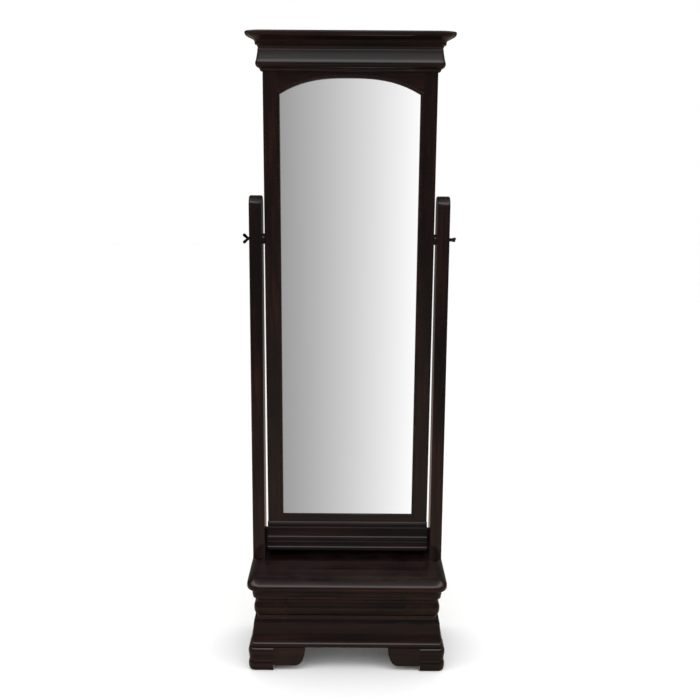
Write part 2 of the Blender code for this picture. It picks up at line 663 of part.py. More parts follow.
def build_glass(mirror):
    """Slip, glass, backing board and retaining strips fill the opening from front to back."""
    slip_front = FACE + 0.0005
    slip_back = slip_front + SLIP_DEPTH
    section = [(0.0, slip_back), (0.0, slip_front + 0.0030), (0.0012, slip_front + 0.0008),
               (0.0030, slip_front), (SLIP_WIDTH, slip_front), (SLIP_WIDTH, slip_back)]
    bm = bmesh.new()
    rings = []
    loops = [opening_outline(offset) for offset, _ in section]
    for s in range(len(loops[0])):
        rings.append([(loop[s][0], point[1], loop[s][1]) for loop, point in zip(loops, section)])
    loft(bm, rings, closed=True)
    finish_mesh("sight_slip", bm, MAHOGANY, mirror)
    glass_front = slip_back + GAP
    glass_back = glass_front + GLASS_THICK
    board_back = glass_back + GAP + BACKING_THICK
    inside = SLIP_WIDTH - GAP
    flat_sheet("mirror_glass", inside, glass_front, glass_back, SILVERING, mirror)
    flat_sheet("backing_board", inside, glass_back + GAP, board_back, HARDBOARD, mirror)
    strip_front = board_back + GAP
    strip_back = REAR
    half = GLASS_HALF + inside
    low_z = GLASS_BOTTOM - inside
    top_z = opening_outline(inside)[2][1] - 0.004
    for side, label in ((-1, "left"), (1, "right")):
        edges = sorted((side * half, side * (half - STRIP_WIDTH)))
        box("glass_strip_" + label, (edges[0], strip_front, low_z + STRIP_WIDTH + GAP),
            (edges[1], strip_back, top_z), PLAIN_WOOD, mirror)
    box("glass_strip_bottom", (-half, strip_front, low_z), (half, strip_back, low_z + STRIP_WIDTH),
        PLAIN_WOOD, mirror)
    outer = opening_outline(inside)[3:-1]
    inner = opening_outline(inside - STRIP_WIDTH)[3:-1]
    extrude_outline("glass_strip_top", outer + inner[::-1], 1, strip_front, strip_back, PLAIN_WOOD, mirror)


def build_crown(mirror):
    """Bead, swelling frieze and cornice wrap the top of the frame and end flush with its back."""
    plan = (FRAME_HALF, FACE, REAR, CROWN_CORNER)
    bottom = BEAD_Z
    outer = [(0.0012, bottom)] + arc((0.0014, bottom + 0.0046), (0.0056, 0.0044), -80, 0, 6)
    outer += [(0.0072, bottom + 0.0056), (0.0084, bottom + 0.0066), (0.0086, bottom + BEAD_HEIGHT - GAP)]
    mitred("crown_bead", closed_profile(outer, GAP), plan, MAHOGANY, mirror)

    bottom = OGEE_Z
    outer = [(0.0090, bottom)]
    outer += arc((0.0095, bottom + 0.0125), (0.0100, 0.0125), -78, 0, 7)
    outer += [(0.0193, bottom + 0.0148), (0.0186, bottom + 0.0172), (0.0174, bottom + 0.0202)]
    for step in range(1, 7):
        share = step / 6
        outer.append((0.0128 + 0.0046 * (1 - share) ** 1.25, bottom + 0.0202 + 0.0266 * share))
    outer += [(0.0132, bottom + 0.0474), (0.0130, bottom + 0.0484), (0.0126, bottom + 0.0494)]
    outer += [(0.0119, bottom + 0.0501), (0.0117, bottom + OGEE_HEIGHT - GAP)]
    mitred("crown_frieze", closed_profile(outer, GAP), plan, MAHOGANY, mirror)

    bottom = CORNICE_Z
    outer = [(0.0118, bottom)]
    outer += arc((0.0198, bottom + 0.0004), (0.0078, 0.0100), 180, 98, 5)
    outer += [(0.0199, bottom + 0.0108), (0.0204, bottom + 0.0175)]
    outer += ogee((0.0210, bottom + 0.0182), (CORNICE_REACH - 0.0012, bottom + 0.0366), 9)
    outer += arc((CORNICE_REACH - 0.0040, bottom + 0.0406), (0.0040, 0.0040), -45, 90, 6)
    outer += [(CORNICE_REACH - 0.0060, CROWN_TOP)]
    mitred("cornice", closed_profile(outer, GAP), plan, MAHOGANY, mirror)

    low = (-FRAME_HALF, FACE, STILE_TOP + GAP)
    box("crown_core", low, (FRAME_HALF, REAR, CROWN_TOP - 0.0005), MAHOGANY, mirror)


def build_foot_moulding(mirror):
    """The moulding across the bottom of the frame: slope, hollow and round, proud of the face."""
    top = FRAME_BOTTOM + FOOT_MOULDING_HEIGHT
    quirk = FRAME_BOTTOM + 0.0740
    arris = FRAME_BOTTOM + 0.0408
    outer = [(0.0012, top), (0.0022, top - 0.0012), (0.0046, quirk + 0.0030), (0.0064, quirk + 0.0020)]
    outer += [(0.0074, quirk + 0.0008), (0.0074, quirk - 0.0008), (0.0046, quirk - 0.0014)]
    outer += [(0.0043, arris + 0.0125)] + arc((0.0125, arris + 0.0095), (0.0082, 0.0087), 180, 262, 5)
    outer += [(0.0130, arris + 0.0002), (0.0128, arris - 0.0016), (0.0100, arris - 0.0030)]
    outer += [(0.0097, FRAME_BOTTOM + 0.0318), (0.0106, FRAME_BOTTOM + 0.0308)]
    outer += [(0.0106, FRAME_BOTTOM + 0.0293), (0.0093, FRAME_BOTTOM + 0.0280), (0.0094, FRAME_BOTTOM + 0.0202)]
    outer += arc((0.0098, FRAME_BOTTOM + 0.0105), (0.0066, 0.0088), 78, -78, 8)
    outer += [(0.0088, FRAME_BOTTOM)]
    outline = [(FACE - GAP - offset, z) for offset, z in outer]
    outline = [(FACE - GAP, top)] + outline + [(FACE - GAP, FRAME_BOTTOM)]
    reach = FRAME_HALF + FOOT_MOULDING_OVERHANG
    extrude_outline("foot_moulding", outline, 0, -reach, reach, MAHOGANY, mirror)


def build_mirror():
    mirror = bpy.data.objects.new("mirror_tilt_axis", None)
    mirror.location = PIVOT
    mirror.rotation_euler.x = LEAN
    bpy.context.scene.collection.objects.link(mirror)
    build_frame(mirror)
    build_glass(mirror)
    build_crown(mirror)
    build_foot_moulding(mirror)


build_front_feet()
build_rear_feet()
build_plinth()
build_floor_board()
build_frieze()
build_back_panel()
build_bed_moulding()
build_base_top()
build_drawer_guides()
build_drawer()
build_posts()
build_stretcher()
build_spacers()
build_wing_screws()
build_mirror()

bpy.context.view_layer.update()
print("lean of the mirror at rest, degrees: %.3f" % (LEAN * 180 / pi))
print("pivot: %.5f %.5f %.5f" % tuple(PIVOT))
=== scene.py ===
# %% [markdown]
# # A cheval mirror in dark lacquered mahogany
# The real object is an arched mirror that swings between two posts. The posts stand on a low base with
# a drawer. The joinery comes in as a fixed frame, so this lesson is about surfaces: deep red-brown wood
# under lacquer, silvered glass, bronzed screws, and a quiet studio that lets a nearly black piece of
# furniture keep its shape.

# %% Load the joinery
import json
from math import radians
import bpy
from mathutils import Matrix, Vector

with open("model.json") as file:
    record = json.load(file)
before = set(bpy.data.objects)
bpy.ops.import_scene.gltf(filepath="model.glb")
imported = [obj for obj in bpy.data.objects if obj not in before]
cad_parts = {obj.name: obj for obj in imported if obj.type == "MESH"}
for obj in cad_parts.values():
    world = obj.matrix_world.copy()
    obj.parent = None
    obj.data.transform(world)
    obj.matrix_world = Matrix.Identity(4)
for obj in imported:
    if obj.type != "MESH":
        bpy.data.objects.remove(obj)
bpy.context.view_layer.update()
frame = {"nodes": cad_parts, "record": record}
nodes = frame["nodes"]

# %% [markdown]
# ## The camera
# The viewer stands about three metres off, a little above the middle of the mirror, and looks slightly
# down. The low pitch keeps the posts nearly parallel and still shows the top of the base.
# The sensor shift does the last few millimetres of framing without adding more convergence.

# %% Camera
CAMERA_Y = -2.812
CAMERA_Z = 1.446
CAMERA_PITCH = 11.43
CAMERA_ROLL = 0.38
LENS = 51.42
SENSOR_WIDTH = 36.0
SENSOR_SHIFT = (0.0022, 0.0213)

camera_data = bpy.data.cameras.new("studio_camera")
camera = bpy.data.objects.new("studio_camera", camera_data)
bpy.context.scene.collection.objects.link(camera)
camera_data.lens = LENS
camera_data.sensor_width = SENSOR_WIDTH
camera_data.shift_x, camera_data.shift_y = SENSOR_SHIFT
camera.location = (0.0, CAMERA_Y, CAMERA_Z)
camera.rotation_euler = (radians(90 - CAMERA_PITCH), 0.0, 0.0)
camera.rotation_euler.rotate_axis("Z", radians(CAMERA_ROLL))
bpy.context.scene.camera = camera
print("camera at", tuple(round(c, 3) for c in camera.location), "lens", camera_data.lens)

# %% [markdown]
# ## Small helpers for node trees
# Every material here is a node tree written in code. One helper adds a node and sets its sockets, four
# more do sums, stretch a range, make noise and blend colours, and the last opens a new shader group with
# named inputs and outputs. With them the trees below read like recipes.

# %% Helpers for node trees


def add(tree, kind, inputs=None, **settings):
    """Add a node, set its properties, and feed each input with a value or another node's socket."""
    node = tree.nodes.new(kind)
    for key, value in settings.items():
        setattr(node, key, value)
    for key, value in (inputs or {}).items():
        socket = node.inputs[key]
        if isinstance(value, bpy.types.NodeSocket):
            tree.links.new(value, socket)
        else:
            socket.default_value = value
    return node


def calc(tree, operation, first, second=0.0, third=0.0):
    """One step of arithmetic on numbers or sockets."""
    node = add(tree, "ShaderNodeMath", {0: first, 1: second, 2: third}, operation=operation)
    return node.outputs[0]


def map_range(tree, value, low, high, new_low=0.0, new_high=1.0):
    """Stretch low..high to new_low..new_high, held at both ends."""
    node = add(tree, "ShaderNodeMapRange", {"Value": value, "From Min": low, "From Max": high,
                                            "To Min": new_low, "To Max": new_high})
    return node.outputs[0]


def noise(tree, place, scale, detail, **more):
    """Cloudy values round one half; a scale of 100 makes blotches about a centimetre across."""
    sockets = {"Vector": place, "Scale": scale, "Detail": detail, **more}
    return add(tree, "ShaderNodeTexNoise", sockets).outputs["Fac"]


def blend_colour(tree, factor, first, second):
    """Mix two colours; the numbers are the Mix node's colour sockets."""
    node = add(tree, "ShaderNodeMix", data_type="RGBA")
    for key, value in ((0, factor), (6, first), (7, second)):
        if isinstance(value, bpy.types.NodeSocket):
            tree.links.new(value, node.inputs[key])
        else:
            node.inputs[key].default_value = value
    return node.outputs[2]


def new_group(name, inputs, outputs):
    """A shader group; inputs are (name, kind, default), outputs are (name, kind)."""
    group = bpy.data.node_groups.new(name, "ShaderNodeTree")
    for label, kind, default in inputs:
        socket = group.interface.new_socket(label, in_out="INPUT", socket_type="NodeSocket" + kind)
        if default is not None:
            socket.default_value = default
    for label, kind in outputs:
        group.interface.new_socket(label, in_out="OUTPUT", socket_type="NodeSocket" + kind)
    return group, group.nodes.new("NodeGroupInput"), group.nodes.new("NodeGroupOutput")


# %% [markdown]
# ## A studio for black furniture
# Dark lacquer has almost no colour of its own to show, so its shape is drawn by what it reflects. The
# studio here is a ramp over the height a ray travels to: a warm floor below, a dim wall at eye level, a
# bright band of window light at forty degrees, a softer ceiling. Slopes that face up catch the band and
# flat faces stay dark. The windows are in front only, while the floor lies all round, so the back keeps
# a sheen too. The looking-glass needs something else in front of it, a soft card that runs from grey on
# the left to white on the right. A perfect mirror sends on perfectly sharp rays, and the Light Path node
# can tell those rays from the softer ones of the lacquer, so each gets its own backdrop. It also counts
# bounces: the glass seen in the polished top board shows the card only up to a little above eye level,
# or the board would glow.

# %% What the lacquer sees
# height of the ray (its Z) and the light there
STUDIO_PEAK = 2.25
STUDIO = [
    (-1.00, (0.12, 0.09, 0.07)), (-0.75, (0.17, 0.13, 0.10)), (-0.48, (0.26, 0.20, 0.16)),
    (-0.38, (0.36, 0.28, 0.22)), (-0.25, (0.20, 0.165, 0.14)), (-0.12, (0.075, 0.066, 0.060)),
    (0.08, (0.060, 0.058, 0.056)), (0.30, (0.38, 0.37, 0.38)), (0.48, (1.05, 1.05, 1.08)),
    (0.60, (2.1, 2.1, 2.15)), (0.70, (2.1, 2.1, 2.15)), (0.80, (0.60, 0.60, 0.62)),
    (1.00, (0.22, 0.22, 0.23)),
]
WINDOW_SIDE = (-0.10, 0.45)   # how far back a ray may point (its Y) before the windows fade
BEHIND_DIM = 0.05
FLOOR_EDGE = (0.02, 0.20)     # ray heights over which the floor's glow hands over to the windows


def ramp(tree, value, stops):
    """A colour ramp from (position, colour) stops."""
    node = add(tree, "ShaderNodeValToRGB", {0: value})
    elements = node.color_ramp.elements
    while len(elements) < len(stops):
        elements.new(0.5)
    for element, (position, colour) in zip(elements, stops):
        element.position = position
        element.color = (*colour, 1)
    return node.outputs[0]


world = bpy.data.worlds.new("studio_world")
bpy.context.scene.world = world
world.use_nodes = True
tree = world.node_tree
tree.nodes.clear()
direction = add(tree, "ShaderNodeTexCoord").outputs["Generated"]
ray_x, ray_y, ray_z = add(tree, "ShaderNodeSeparateXYZ", {0: direction}).outputs
stops = [((height + 1) / 2, tuple(c / STUDIO_PEAK for c in colour)) for height, colour in STUDIO]
studio = ramp(tree, calc(tree, "MULTIPLY_ADD", ray_z, 0.5, 0.5), stops)
facing = map_range(tree, ray_y, WINDOW_SIDE[1], WINDOW_SIDE[0], BEHIND_DIM, 1.0)
low_down = map_range(tree, ray_z, FLOOR_EDGE[1], FLOOR_EDGE[0])
strength = calc(tree, "MULTIPLY", calc(tree, "MAXIMUM", facing, low_down), STUDIO_PEAK)
studio = add(tree, "ShaderNodeVectorMath", {0: studio, "Scale": strength}, operation="SCALE").outputs[0]
print("studio ramp:", len(STUDIO), "stops, brightest", max(max(colour) for _, colour in STUDIO))

# %% What the looking-glass sees
CARD_MIDDLE = 0.806
CARD_SLOPE = 2.79
CARD_DARKEST = 0.55
CARD_LIGHTEST = 0.992
CARD_TOP = (0.15, 0.30)
ABOVE_CARD = 0.10
LEAST_FORWARD = 0.05          # keeps the division finite for rays that run sideways
DISPLAY_GAMMA = 2.2
# where light is looked up, the depth is one more than the bounces so far
FIRST_BOUNCE_DEPTH = 2.5

forward = calc(tree, "MAXIMUM", calc(tree, "MULTIPLY", ray_y, -1.0), LEAST_FORWARD)
sideways = calc(tree, "DIVIDE", ray_x, forward)
shade = calc(tree, "MULTIPLY_ADD", sideways, CARD_SLOPE, CARD_MIDDLE)
shade = calc(tree, "MINIMUM", calc(tree, "MAXIMUM", shade, CARD_DARKEST), CARD_LIGHTEST)
card = calc(tree, "POWER", shade, DISPLAY_GAMMA)
paths = add(tree, "ShaderNodeLightPath").outputs
first_bounce = calc(tree, "LESS_THAN", paths["Ray Depth"], FIRST_BOUNCE_DEPTH)
card_edge = map_range(tree, ray_z, CARD_TOP[0], CARD_TOP[1], 1.0, ABOVE_CARD)
card = calc(tree, "MULTIPLY", card, calc(tree, "MAXIMUM", card_edge, first_bounce))
print("card runs from %.2f to %.2f" % (CARD_DARKEST, CARD_LIGHTEST))

# %% One backdrop for each kind of ray
FILL_LIGHT = (1.05, 1.05, 1.05, 1)
WHITE = (1, 1, 1, 1)

seen = blend_colour(tree, paths["Is Glossy Ray"], FILL_LIGHT, studio)
seen = blend_colour(tree, paths["Is Singular Ray"], seen, card)
seen = blend_colour(tree, paths["Is Camera Ray"], seen, WHITE)
background = add(tree, "ShaderNodeBackground", {"Color": seen, "Strength": 1.0})
add(tree, "ShaderNodeOutputWorld", {"Surface": background.outputs[0]})
print("world nodes:", len(tree.nodes))

# %% [markdown]
# ## Lights
# One wide box hangs above and slightly in front, as over a shop floor, and a narrow one stands on each
# side. They only warm the bare wood and cast the soft shadow. The lacquer sees the studio ramp instead, so
# the boxes are hidden from reflections, where their hard edges would show.

# %% Lights


def softbox(name, place, target, size, power):
    data = bpy.data.lights.new(name, "AREA")
    data.shape = "RECTANGLE"
    data.size, data.size_y = size
    data.energy = power
    light = bpy.data.objects.new(name, data)
    light.location = place
    light.rotation_euler = (Vector(target) - Vector(place)).to_track_quat("-Z", "Y").to_euler()
    light.visible_camera = False
    light.visible_glossy = False
    bpy.context.scene.collection.objects.link(light)
    return light


OVERHEAD_WATTS = 22.0
STRIP_WATTS = 8.0
softbox("overhead_box", (0.0, -1.4, 3.4), (0.0, -0.1, 0.7), (2.6, 1.6), OVERHEAD_WATTS)
for side, name in ((-1, "left_strip"), (1, "right_strip")):
    softbox(name, (side * 2.2, -1.4, 1.9), (0.0, 0.0, 0.9), (0.5, 1.8), STRIP_WATTS)
print("lights:", len(bpy.data.lights))

# %% [markdown]
# ## The floor
# A large pale sheet of matt paper would do for a real set. Its only work here is to hold the contact
# shadow, so it is one flat face, hidden from reflections, with a barely visible mottle that keeps the white
# from looking printed.

# %% Floor
FLOOR_SIZE = 30.0
floor_mesh = bpy.data.meshes.new("floor_sheet")
corner = FLOOR_SIZE / 2
corners = [(-corner, -corner, 0), (corner, -corner, 0), (corner, corner, 0), (-corner, corner, 0)]
floor_mesh.from_pydata(corners, [], [(0, 1, 2, 3)])
floor = bpy.data.objects.new("floor_sheet", floor_mesh)
bpy.context.scene.collection.objects.link(floor)
floor.visible_glossy = False

floor_paint = bpy.data.materials.new("pale_floor")
floor_paint.use_nodes = True
tree = floor_paint.node_tree
shader = tree.nodes["Principled BSDF"]
place = add(tree, "ShaderNodeTexCoord").outputs["Object"]
mottle = noise(tree, place, 1.4, 3.0)
tint = blend_colour(tree, mottle, (0.965, 0.965, 0.96, 1), (0.995, 0.995, 0.995, 1))
tree.links.new(tint, shader.inputs["Base Color"])
shader.inputs["Roughness"].default_value = 0.8
shader.inputs["Specular IOR Level"].default_value = 0.1
floor_mesh.materials.append(floor_paint)
print("floor sheet", FLOOR_SIZE, "m square")

# %% [markdown]
# ## Mahogany figure, one group for every board
# Stained mahogany has three scales of pattern: broad reddish clouds, streaks that run with the grain, and
# short dark pores. All three are noise stretched along the board, so the group takes coordinates whose X
# runs with the grain and stretches each noise by its own amount. The pattern differs from board to board
# through a seed, as it would if each were sawn from another plank.

# %% Group: wood figure


def stretched_noise(tree, vector, seed, along, scale, detail, roughness=0.55, distortion=0.0):
    """Noise pulled out along X; `along` is how many times longer than wide a feature is."""
    squeeze = (1.0 / along, 1.0, 1.0)
    squeezed = add(tree, "ShaderNodeVectorMath", {0: vector, 1: squeeze}, operation="MULTIPLY")
    noise = add(tree, "ShaderNodeTexNoise",
                {"Vector": squeezed.outputs[0], "W": seed, "Scale": scale, "Detail": detail,
                 "Roughness": roughness, "Distortion": distortion}, noise_dimensions="4D")
    return noise.outputs["Fac"]


PORE_COLOUR = (0.002, 0.0012, 0.001, 1)
figure_group, entry, leave = new_group(
    "wood_figure",
    [("Grain Vector", "Vector", None), ("Seed", "Float", 0.0), ("Dark", "Color", (0.010, 0.003, 0.003, 1)),
     ("Red", "Color", (0.040, 0.008, 0.006, 1)), ("Streaks", "Float", 0.5), ("Pores", "Float", 0.5)],
    [("Color", "Color"), ("Height", "Float"), ("Gloss Loss", "Float")])
tree = figure_group
vector, seed = entry.outputs["Grain Vector"], entry.outputs["Seed"]
cloud = map_range(tree, stretched_noise(tree, vector, seed, 5.0, 14.0, 3.0, distortion=0.6), 0.38, 0.62)
streak = map_range(tree, stretched_noise(tree, vector, seed, 30.0, 120.0, 4.0, 0.6), 0.40, 0.62)
pore = map_range(tree, stretched_noise(tree, vector, seed, 16.0, 900.0, 2.0, 0.5), 0.60, 0.70)
colour = blend_colour(tree, cloud, entry.outputs["Dark"], entry.outputs["Red"])
shadow = calc(tree, "MULTIPLY", calc(tree, "SUBTRACT", 1.0, streak), entry.outputs["Streaks"])
colour = blend_colour(tree, shadow, colour, entry.outputs["Dark"])
pores = calc(tree, "MULTIPLY", pore, entry.outputs["Pores"])
colour = blend_colour(tree, pores, colour, PORE_COLOUR)
height = calc(tree, "SUBTRACT", calc(tree, "MULTIPLY", streak, 0.35), pores)
tree.links.new(colour, leave.inputs["Color"])
tree.links.new(height, leave.inputs["Height"])
tree.links.new(calc(tree, "MULTIPLY", pores, 0.25), leave.inputs["Gloss Loss"])
print("figure group:", [item.name for item in figure_group.interface.items_tree])

# %% [markdown]
# ## Rubbed edges and painted edge highlights
# Lacquer thins where hands and cloths rub it, so arrises go a touch lighter and redder; on the wood this
# lighter edge colour is also a painted highlight along the arrises. The Bevel node looks a millimetre to
# each side and rounds the normal there; where that rounded normal differs from the true one there is an
# edge. The group only hands out a mask, and each material decides what to do with it.

# %% Group: edge wear and painted edge highlight
edge_group, entry, leave = new_group(
    "edge_wear_and_highlight", [("Width", "Float", 0.001), ("Patchiness", "Float", 0.5)], [("Mask", "Float")])
tree = edge_group
rounded = add(tree, "ShaderNodeBevel", {"Radius": entry.outputs["Width"]}, samples=4).outputs["Normal"]
true_normal = add(tree, "ShaderNodeNewGeometry").outputs["Normal"]
agree = add(tree, "ShaderNodeVectorMath", {0: rounded, 1: true_normal}, operation="DOT_PRODUCT")
edge = map_range(tree, agree.outputs["Value"], 0.995, 0.90)
place = add(tree, "ShaderNodeTexCoord").outputs["Object"]
patch = map_range(tree, noise(tree, place, 38.0, 3.0), 0.35, 0.65)
kept = calc(tree, "SUBTRACT", 1.0, calc(tree, "MULTIPLY", entry.outputs["Patchiness"],
                                        calc(tree, "SUBTRACT", 1.0, patch)))
tree.links.new(calc(tree, "MULTIPLY", edge, kept), leave.inputs["Mask"])
print("edge group nodes:", len(tree.nodes))

# %% [markdown]
# ## Settled dust
# Dust does the opposite of rubbing and gathers on what faces up: a thin uneven film with single specks in
# it. The height of the surface normal says how flat a place lies, and two noises, one broad and one fine,
# break the film up. On dark lacquer very little is enough.

# %% Group: settled dust
dust_group, entry, leave = new_group(
    "settled_dust", [("Amount", "Float", 0.1), ("Speck Size", "Float", 320.0)], [("Mask", "Float")])
tree = dust_group
normal = add(tree, "ShaderNodeNewGeometry").outputs["Normal"]
upward = map_range(tree, add(tree, "ShaderNodeSeparateXYZ", {0: normal}).outputs[2], 0.55, 0.98)
place = add(tree, "ShaderNodeTexCoord").outputs["Object"]
film = map_range(tree, noise(tree, place, 11.0, 4.0), 0.4, 0.7)
specks = map_range(tree, noise(tree, place, entry.outputs["Speck Size"], 1.0), 0.62, 0.74)
film = calc(tree, "ADD", calc(tree, "MULTIPLY", film, 0.5), specks)
settled = calc(tree, "MULTIPLY", upward, film)
tree.links.new(calc(tree, "MULTIPLY", settled, entry.outputs["Amount"]), leave.inputs["Mask"])
print("dust group nodes:", len(tree.nodes))

# %% [markdown]
# ## The lacquered mahogany itself
# Each board needs its grain along its own length: upright in posts and stiles, level in rails and front
# mouldings, front to back in the side returns. One function turns the coordinates first and builds the
# same material three times. Lacquer is the coat layer of the Principled shader, glossy over a duller
# stained wood, which is how the real finish is laid down.

# %% Material: lacquered mahogany in three grain directions
GRAIN_TURNS = {"x": (0.0, 0.0, 0.0), "y": (0.0, 0.0, radians(90)), "z": (0.0, radians(90), 0.0)}
DUST_COLOUR = (0.30, 0.28, 0.26, 1)
PORE_DEPTH = 0.00012
# how strongly and how wide the arrises are painted lighter, partly as wear and partly as a painted
# highlight
EDGE_WEAR_AND_HIGHLIGHT_STRENGTH = 0.55
EDGE_WEAR_AND_HIGHLIGHT_WIDTH = 0.0011
DUST_DULLS = 0.6
PORE_DULLS = 0.8


def group_node(tree, group, inputs):
    """Place a shader group in a material with this material's own values."""
    node = add(tree, "ShaderNodeGroup")
    node.node_tree = group
    for key, value in inputs.items():
        if isinstance(value, bpy.types.NodeSocket):
            tree.links.new(value, node.inputs[key])
        else:
            node.inputs[key].default_value = value
    return node.outputs


def wood(name, along, dark, red, wear_and_highlight_colour, coat, roughness, bump=0.5, dust=0.05, streaks=0.8):
    """Wood with its grain along x, y or z; coat is how much lacquer lies on it, 0 for bare wood."""
    made = bpy.data.materials.new(name)
    made.use_nodes = True
    tree = made.node_tree
    shader = tree.nodes["Principled BSDF"]
    place = add(tree, "ShaderNodeTexCoord").outputs["Object"]
    turned = add(tree, "ShaderNodeMapping", {"Vector": place, "Rotation": GRAIN_TURNS[along]})
    seed = calc(tree, "MULTIPLY", add(tree, "ShaderNodeObjectInfo").outputs["Random"], 40.0)
    figure = group_node(tree, figure_group, {"Grain Vector": turned.outputs[0], "Seed": seed, "Dark": dark,
                                             "Red": red, "Streaks": streaks, "Pores": 0.5})
    edges = group_node(tree, edge_group, {"Width": EDGE_WEAR_AND_HIGHLIGHT_WIDTH, "Patchiness": 0.55})
    motes = group_node(tree, dust_group, {"Amount": dust, "Speck Size": 420.0})
    # arrises painted lighter and redder: partly rubbed lacquer, partly a painted highlight along the edges
    edge_wear_and_highlight_mix = calc(tree, "MULTIPLY", edges["Mask"], EDGE_WEAR_AND_HIGHLIGHT_STRENGTH)
    colour = blend_colour(tree, edge_wear_and_highlight_mix, figure["Color"], wear_and_highlight_colour)
    colour = blend_colour(tree, motes["Mask"], colour, DUST_COLOUR)
    tree.links.new(colour, shader.inputs["Base Color"])
    rough = calc(tree, "ADD", figure["Gloss Loss"], roughness)
    rough = calc(tree, "ADD", rough, calc(tree, "MULTIPLY", motes["Mask"], DUST_DULLS))
    tree.links.new(rough, shader.inputs["Roughness"])
    if coat:
        gloss = calc(tree, "SUBTRACT", coat, calc(tree, "MULTIPLY", figure["Gloss Loss"], PORE_DULLS))
        tree.links.new(gloss, shader.inputs["Coat Weight"])
        shader.inputs["Coat Roughness"].default_value = 0.09
        shader.inputs["Coat IOR"].default_value = 1.48
    shader.inputs["Specular IOR Level"].default_value = 0.15
    relief = add(tree, "ShaderNodeBump",
                 {"Height": figure["Height"], "Strength": bump, "Distance": PORE_DEPTH})
    tree.links.new(relief.outputs[0], shader.inputs["Normal"])
    return made


DARK = (0.0036, 0.0015, 0.0012, 1)
RED = (0.0198, 0.0046, 0.0035, 1)
# lighter edge colour: rubbed lacquer and a painted highlight on the arrises
EDGE_WEAR_AND_HIGHLIGHT_COLOUR = (0.060, 0.021, 0.015, 1)
mahogany = {axis: wood("mahogany_along_" + axis, axis, DARK, RED, EDGE_WEAR_AND_HIGHLIGHT_COLOUR, 1.0, 0.34) for axis in "xyz"}

PALE_DARK = (0.30, 0.185, 0.100, 1)
PALE_LIGHT = (0.46, 0.31, 0.185, 1)
PALE_EDGE = (0.52, 0.38, 0.25, 1)
carcass = {axis: wood("carcass_wood_along_" + axis, axis, PALE_DARK, PALE_LIGHT, PALE_EDGE, 0.0, 0.62,
                      bump=0.35, dust=0.12, streaks=0.35) for axis in "xyz"}
print("wood materials:", len(mahogany) + len(carcass))

# %% [markdown]
# ## Silvered glass
# A looking-glass is float glass with silver behind it. To light it is a perfect metal, so it keeps a
# roughness of exactly zero; only its tint moves, by less than anyone would notice, where the silvering is
# thinner. Real glass in front of a mirror layer would double the edges of every reflection for no gain.

# %% Material: silvered glass
silvered = bpy.data.materials.new("silvered_glass")
silvered.use_nodes = True
tree = silvered.node_tree
shader = tree.nodes["Principled BSDF"]
place = add(tree, "ShaderNodeTexCoord").outputs["Object"]
veil = noise(tree, place, 2.2, 2.0)
tint = blend_colour(tree, veil, (0.968, 0.972, 0.970, 1), (0.985, 0.987, 0.986, 1))
tree.links.new(tint, shader.inputs["Base Color"])
shader.inputs["Metallic"].default_value = 1.0
shader.inputs["Roughness"].default_value = 0.0
print("material:", silvered.name)

# %% [markdown]
# ## Bronzed steel and brass
# The wing screws are steel under a dark bronze finish, worn to brighter metal on the wings where fingers
# hold them, and the threaded inserts are plain turned brass. Both are the same recipe with other colours:
# a blotchy metal, lighter and smoother where the edge mask says it is rubbed.

# %% Materials: metals


def metal(name, dark, light, bright, roughness):
    """A blotched metal that runs from dark to light, and to bright where it is worn."""
    made = bpy.data.materials.new(name)
    made.use_nodes = True
    tree = made.node_tree
    shader = tree.nodes["Principled BSDF"]
    place = add(tree, "ShaderNodeTexCoord").outputs["Object"]
    blotch = noise(tree, place, 190.0, 4.0)
    colour = blend_colour(tree, map_range(tree, blotch, 0.35, 0.65), dark, light)
    edges = group_node(tree, edge_group, {"Width": 0.0007, "Patchiness": 0.4})
    colour = blend_colour(tree, edges["Mask"], colour, bright)
    tree.links.new(colour, shader.inputs["Base Color"])
    shader.inputs["Metallic"].default_value = 1.0
    rough = calc(tree, "MULTIPLY_ADD", blotch, 0.16, roughness)
    tree.links.new(calc(tree, "SUBTRACT", rough, calc(tree, "MULTIPLY", edges["Mask"], 0.12)),
                   shader.inputs["Roughness"])
    relief = add(tree, "ShaderNodeBump", {"Height": blotch, "Strength": 0.2, "Distance": 0.0002})
    tree.links.new(relief.outputs[0], shader.inputs["Normal"])
    return made


bronze = metal("bronzed_steel", (0.020, 0.015, 0.012, 1), (0.045, 0.034, 0.027, 1),
               (0.16, 0.12, 0.09, 1), roughness=0.30)
brass = metal("machined_brass", (0.48, 0.33, 0.13, 1), (0.62, 0.44, 0.19, 1),
              (0.80, 0.62, 0.32, 1), roughness=0.22)
print("metals:", bronze.name, brass.name)

# %% [markdown]
# ## Hardboard and felt
# The back of the glass is closed with pressed hardboard, and two felt discs stop the frame from knocking on
# the stretcher. Both are tangles of short fibre, coarse and brown in one and fine and black in the other,
# so one function with a scale serves for the two.

# %% Materials: hardboard and felt


